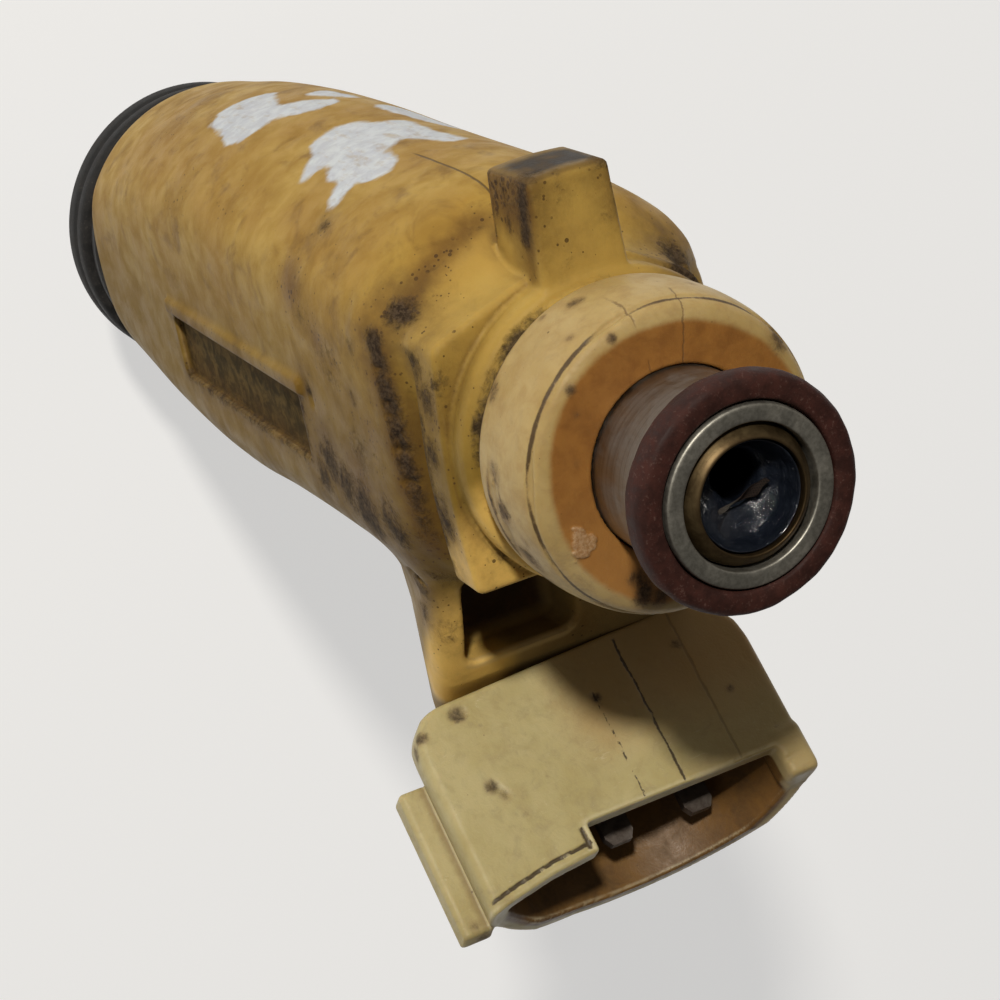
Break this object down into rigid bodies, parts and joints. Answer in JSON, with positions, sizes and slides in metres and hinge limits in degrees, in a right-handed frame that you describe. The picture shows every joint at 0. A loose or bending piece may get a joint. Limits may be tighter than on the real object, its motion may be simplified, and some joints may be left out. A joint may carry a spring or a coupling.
{
  "type": "fuel injector",
  "caption": "Top-feed port fuel injector: long moulded body, round inlet with O-ring and filter, square locating peg, and a two-blade socket angled towards the inlet.",
  "frame": {"origin": "middle of the spray-hole plate's outer face, on the valve's axis", "axes": "+Z along the valve's axis from the spray tip to the fuel inlet, +Y towards the locating peg, so the socket is on the -Y side; +X completes a right-handed frame"},
  "size_m": [0.0223, 0.0457, 0.0889],
  "materials": {
    "body_plastic": "yellow glass-filled nylon, aged and grimy",
    "collar_plastic": "cream nylon, fuel-stained at the front",
    "socket_plastic": "cream nylon, worn and stained",
    "tinned_terminal": "dull tin plate",
    "stainless": "turned stainless steel, lightly tarnished",
    "oxide_rubber": "matte brown-red fluoro rubber",
    "filter_brass": "darkened brass",
    "filter_plastic": "dark plastic, wet with old fuel",
    "spring_steel": "drawn wire",
    "magnetic_steel": "ground magnetic stainless",
    "bobbin_plastic": "black glass-filled nylon",
    "magnet_wire": "enamelled copper wire",
    "black_rubber": "matte black rubber"
  },
  "bodies": {
    "injector": {"main_housing": "body_plastic", "inlet_collar": "collar_plastic", "connector_shell": "socket_plastic", "terminal_carrier": "socket_plastic", "terminal_pin_a": "tinned_terminal", "terminal_pin_b": "tinned_terminal", "inlet_tube": "stainless", "inlet_oring": "oxide_rubber", "filter_collar": "filter_brass", "filter_basket": "filter_plastic", "adjusting_sleeve": "stainless", "return_spring": "spring_steel", "nonmagnetic_ring": "stainless", "coil_bobbin": "bobbin_plastic", "coil_winding": "magnet_wire", "solenoid_can": "magnetic_steel", "magnet_washer": "magnetic_steel", "bobbin_oring_upper": "black_rubber", "bobbin_oring_lower": "black_rubber", "lower_housing": "stainless", "lift_stop_plate": "magnetic_steel", "nozzle_body": "stainless", "orifice_plate": "stainless", "nozzle_cap": "bobbin_plastic", "tip_seal_ring": "black_rubber", "insulator_ring": "black_rubber", "backup_ring": "bobbin_plastic"},
    "valve": {"armature": "magnetic_steel", "needle_valve": "stainless"}
  },
  "joints": [
    {"name": "valve_lift", "type": "slide", "parent": "injector", "child": "valve", "axis": [0, 0, 1], "range_m": [0, 0.0001], "stiffness_N_per_m": 1200, "springref_m": -0.0025, "deforming": ["return_spring"]}
  ]
}
